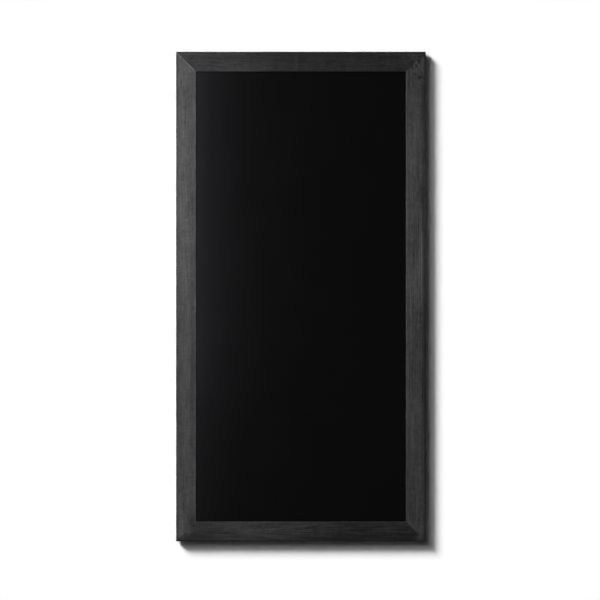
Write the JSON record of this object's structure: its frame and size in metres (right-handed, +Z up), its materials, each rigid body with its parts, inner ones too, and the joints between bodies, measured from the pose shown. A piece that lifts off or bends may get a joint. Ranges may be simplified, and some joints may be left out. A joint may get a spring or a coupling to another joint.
{
  "type": "wall chalkboard",
  "caption": "Tall framed chalkboard that hangs on a wall by swinging rings behind its mitred wooden rails, with a matt black writing panel.",
  "frame": {"origin": "on the plane of the wall, midway between the points where the two hanger rings rest on their hooks", "axes": "+X along the board's width, to the right as seen from the front; +Y into the wall, with the writing face looking along -Y; +Z up, along the board's height"},
  "size_m": [0.666, 0.026, 1.306],
  "materials": {
    "stained_wood": "black stained softwood, satin, with open grain",
    "coated_board": "hardboard with a matt black chalk coating",
    "zinc_steel": "bright zinc plate",
    "black_rubber": "matt black rubber"
  },
  "bodies": {
    "board": {"rail_top": "stained_wood", "stile_right": "stained_wood", "rail_bottom": "stained_wood", "stile_left": "stained_wood", "writing_panel": "coated_board", "mitre_nail_top_left_outer": "zinc_steel", "mitre_nail_top_left_inner": "zinc_steel", "mitre_nail_top_right_outer": "zinc_steel", "mitre_nail_top_right_inner": "zinc_steel", "mitre_nail_bottom_right_outer": "zinc_steel", "mitre_nail_bottom_right_inner": "zinc_steel", "mitre_nail_bottom_left_outer": "zinc_steel", "mitre_nail_bottom_left_inner": "zinc_steel", "point_rail_top_1": "zinc_steel", "point_rail_top_2": "zinc_steel", "point_rail_top_3": "zinc_steel", "point_stile_right_1": "zinc_steel", "point_stile_right_2": "zinc_steel", "point_stile_right_3": "zinc_steel", "point_stile_right_4": "zinc_steel", "point_stile_right_5": "zinc_steel", "point_stile_right_6": "zinc_steel", "point_rail_bottom_1": "zinc_steel", "point_rail_bottom_2": "zinc_steel", "point_rail_bottom_3": "zinc_steel", "point_stile_left_1": "zinc_steel", "point_stile_left_2": "zinc_steel", "point_stile_left_3": "zinc_steel", "point_stile_left_4": "zinc_steel", "point_stile_left_5": "zinc_steel", "point_stile_left_6": "zinc_steel", "hanger_strap_left": "zinc_steel", "hanger_strap_right": "zinc_steel", "hanger_screw_left_upper": "zinc_steel", "hanger_screw_left_lower": "zinc_steel", "hanger_screw_right_upper": "zinc_steel", "hanger_screw_right_lower": "zinc_steel", "bumper_top_left": "black_rubber", "bumper_top_right": "black_rubber", "bumper_bottom_left": "black_rubber", "bumper_bottom_right": "black_rubber"},
    "ring_left": {"hanger_ring_left": "zinc_steel"},
    "ring_right": {"hanger_ring_right": "zinc_steel"}
  },
  "joints": [
    {"name": "ring_left_swing", "type": "hinge", "parent": "board", "child": "ring_left", "pos_m": [-0.3115, -0.00315, -0.016], "axis": [-1, 0, 0], "range_deg": [0, 180]},
    {"name": "ring_right_swing", "type": "hinge", "parent": "board", "child": "ring_right", "pos_m": [0.3115, -0.00315, -0.016], "axis": [-1, 0, 0], "range_deg": [0, 180]}
  ]
}
